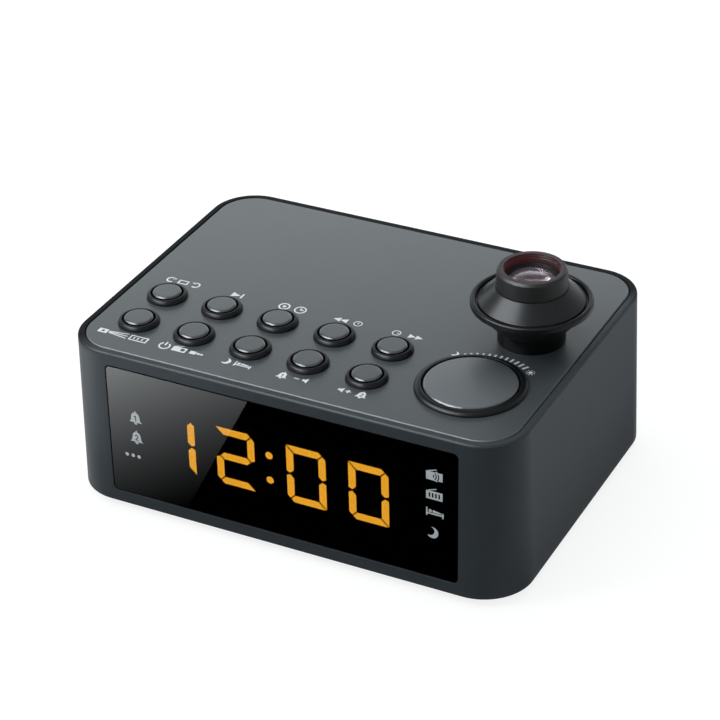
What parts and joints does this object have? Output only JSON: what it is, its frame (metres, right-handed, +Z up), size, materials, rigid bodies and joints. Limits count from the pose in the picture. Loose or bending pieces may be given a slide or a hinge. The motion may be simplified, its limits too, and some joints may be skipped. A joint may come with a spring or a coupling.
{
  "type": "projection alarm clock",
  "caption": "Rounded desk clock radio with a flush window of digits, round top keys, a broad snooze key and a projector that pans, tilts and focuses.",
  "frame": {"origin": "on the table, under the middle of the case", "axes": "+X along the display to its right as read, +Y from the display to the back, +Z up"},
  "size_m": [0.1736, 0.1276, 0.0911],
  "materials": {
    "housing_plastic": "fine satin texture",
    "panel_plastic": "fine satin texture",
    "key_plastic": "satin, rounded edge polished by use",
    "collar_plastic": "semi-gloss",
    "head_plastic": "satin gloss",
    "inner_plastic": "moulded black",
    "window_tint": "polished, tinted clear",
    "lens_clear": "polished",
    "bar_amber": "translucent, lit from behind",
    "bar_dark": "translucent, unlit",
    "board_green": "glass fibre board with solder mask",
    "component_black": "moulded",
    "silicone": "soft, translucent",
    "foot_rubber": "matt",
    "steel": "zinc plated",
    "ferrite": "ground ferrite",
    "cone_paper": "pressed paper",
    "led_red": "clear red epoxy",
    "cable_grey": "flat cable"
  },
  "bodies": {
    "case": {"main_housing": "housing_plastic", "top_panel": "panel_plastic", "display_window": "window_tint", "base_cover": "housing_plastic", "backup_cell": "steel", "battery_contacts": "steel", "rubber_feet": "foot_rubber", "case_screws": "steel", "display_reflector": "inner_plastic", "segments_lit": "bar_amber", "segments_dark": "bar_dark", "display_board": "board_green", "key_collars": "collar_plastic", "snooze_collar": "collar_plastic", "key_board": "board_green", "key_mat": "silicone", "board_screws": "steel", "speaker_frame": "steel", "speaker_magnet": "ferrite", "speaker_cone": "cone_paper", "main_board": "board_green", "board_components": "component_black", "tuner_can": "steel", "audio_jack": "inner_plastic", "power_inlet": "inner_plastic", "aerial_bushing": "inner_plastic", "display_cable": "cable_grey"},
    "projector_button": {"projector_key": "key_plastic"},
    "source_button": {"source_key": "key_plastic"},
    "sleep_button": {"sleep_key": "key_plastic"},
    "alarm_one_button": {"alarm_one_key": "key_plastic"},
    "alarm_two_button": {"alarm_two_key": "key_plastic"},
    "rotate_button": {"rotate_key": "key_plastic"},
    "preset_button": {"preset_key": "key_plastic"},
    "clock_set_button": {"clock_set_key": "key_plastic"},
    "hour_button": {"hour_key": "key_plastic"},
    "minute_button": {"minute_key": "key_plastic"},
    "snooze_button": {"snooze_key": "key_plastic"},
    "swivel": {"swivel_base": "collar_plastic", "swivel_clip": "inner_plastic", "tilt_pins": "steel"},
    "projector_head": {"head_lower_shell": "collar_plastic", "rim_ring": "head_plastic", "head_cone": "head_plastic", "lcd_slide": "lens_clear", "condenser_lens": "lens_clear", "projector_board": "board_green", "projector_led": "led_red"},
    "focus_ring": {"focus_barrel": "head_plastic"},
    "lens_carrier": {"lens_cell": "inner_plastic", "projection_lens": "lens_clear", "lens_retainer": "inner_plastic"},
    "cell_door": {"battery_door": "housing_plastic"}
  },
  "joints": [
    {"name": "projector_press", "type": "slide", "parent": "case", "child": "projector_button", "axis": [0, 0, -1], "range_m": [0, 0.0012], "stiffness_N_per_m": 400, "springref_m": -0.0005, "deforming": ["key_mat"]},
    {"name": "source_press", "type": "slide", "parent": "case", "child": "source_button", "axis": [0, 0, -1], "range_m": [0, 0.0012], "stiffness_N_per_m": 400, "springref_m": -0.0005, "deforming": ["key_mat"]},
    {"name": "sleep_press", "type": "slide", "parent": "case", "child": "sleep_button", "axis": [0, 0, -1], "range_m": [0, 0.0012], "stiffness_N_per_m": 400, "springref_m": -0.0005, "deforming": ["key_mat"]},
    {"name": "alarm_one_press", "type": "slide", "parent": "case", "child": "alarm_one_button", "axis": [0, 0, -1], "range_m": [0, 0.0012], "stiffness_N_per_m": 400, "springref_m": -0.0005, "deforming": ["key_mat"]},
    {"name": "alarm_two_press", "type": "slide", "parent": "case", "child": "alarm_two_button", "axis": [0, 0, -1], "range_m": [0, 0.0012], "stiffness_N_per_m": 400, "springref_m": -0.0005, "deforming": ["key_mat"]},
    {"name": "rotate_press", "type": "slide", "parent": "case", "child": "rotate_button", "axis": [0, 0, -1], "range_m": [0, 0.0012], "stiffness_N_per_m": 400, "springref_m": -0.0005, "deforming": ["key_mat"]},
    {"name": "preset_press", "type": "slide", "parent": "case", "child": "preset_button", "axis": [0, 0, -1], "range_m": [0, 0.0012], "stiffness_N_per_m": 400, "springref_m": -0.0005, "deforming": ["key_mat"]},
    {"name": "clock_set_press", "type": "slide", "parent": "case", "child": "clock_set_button", "axis": [0, 0, -1], "range_m": [0, 0.0012], "stiffness_N_per_m": 400, "springref_m": -0.0005, "deforming": ["key_mat"]},
    {"name": "hour_press", "type": "slide", "parent": "case", "child": "hour_button", "axis": [0, 0, -1], "range_m": [0, 0.0012], "stiffness_N_per_m": 400, "springref_m": -0.0005, "deforming": ["key_mat"]},
    {"name": "minute_press", "type": "slide", "parent": "case", "child": "minute_button", "axis": [0, 0, -1], "range_m": [0, 0.0012], "stiffness_N_per_m": 400, "springref_m": -0.0005, "deforming": ["key_mat"]},
    {"name": "snooze_press", "type": "slide", "parent": "case", "child": "snooze_button", "axis": [0, 0, -1], "range_m": [0, 0.0015], "stiffness_N_per_m": 700, "springref_m": -0.0005, "deforming": ["key_mat"]},
    {"name": "projector_pan", "type": "hinge", "parent": "case", "child": "swivel", "pos_m": [0.0626, 0.0073, 0.0677], "axis": [0, 0, 1], "range_deg": [-90, 90]},
    {"name": "projector_tilt", "type": "hinge", "parent": "swivel", "child": "projector_head", "pos_m": [0.0626, 0.0073, 0.0677], "axis": [1, 0, 0], "range_deg": [-25, 25]},
    {"name": "focus_turn", "type": "hinge", "parent": "projector_head", "child": "focus_ring", "pos_m": [0.0626, 0.0073, 0.0845], "axis": [0, 0, 1], "range_deg": [-60, 60]},
    {"name": "lens_travel", "type": "slide", "parent": "projector_head", "child": "lens_carrier", "axis": [0, 0, 1], "range_m": [-0.00075, 0.00075]},
    {"name": "battery_door_turn", "type": "hinge", "parent": "case", "child": "cell_door", "pos_m": [0.03, -0.0294, 0.003], "axis": [0, 0, 1], "range_deg": [0, 50]}
  ],
  "couplings": [
    {"joint": "focus_turn", "follows": "lens_travel", "rad_per_m": 1396}
  ]
}
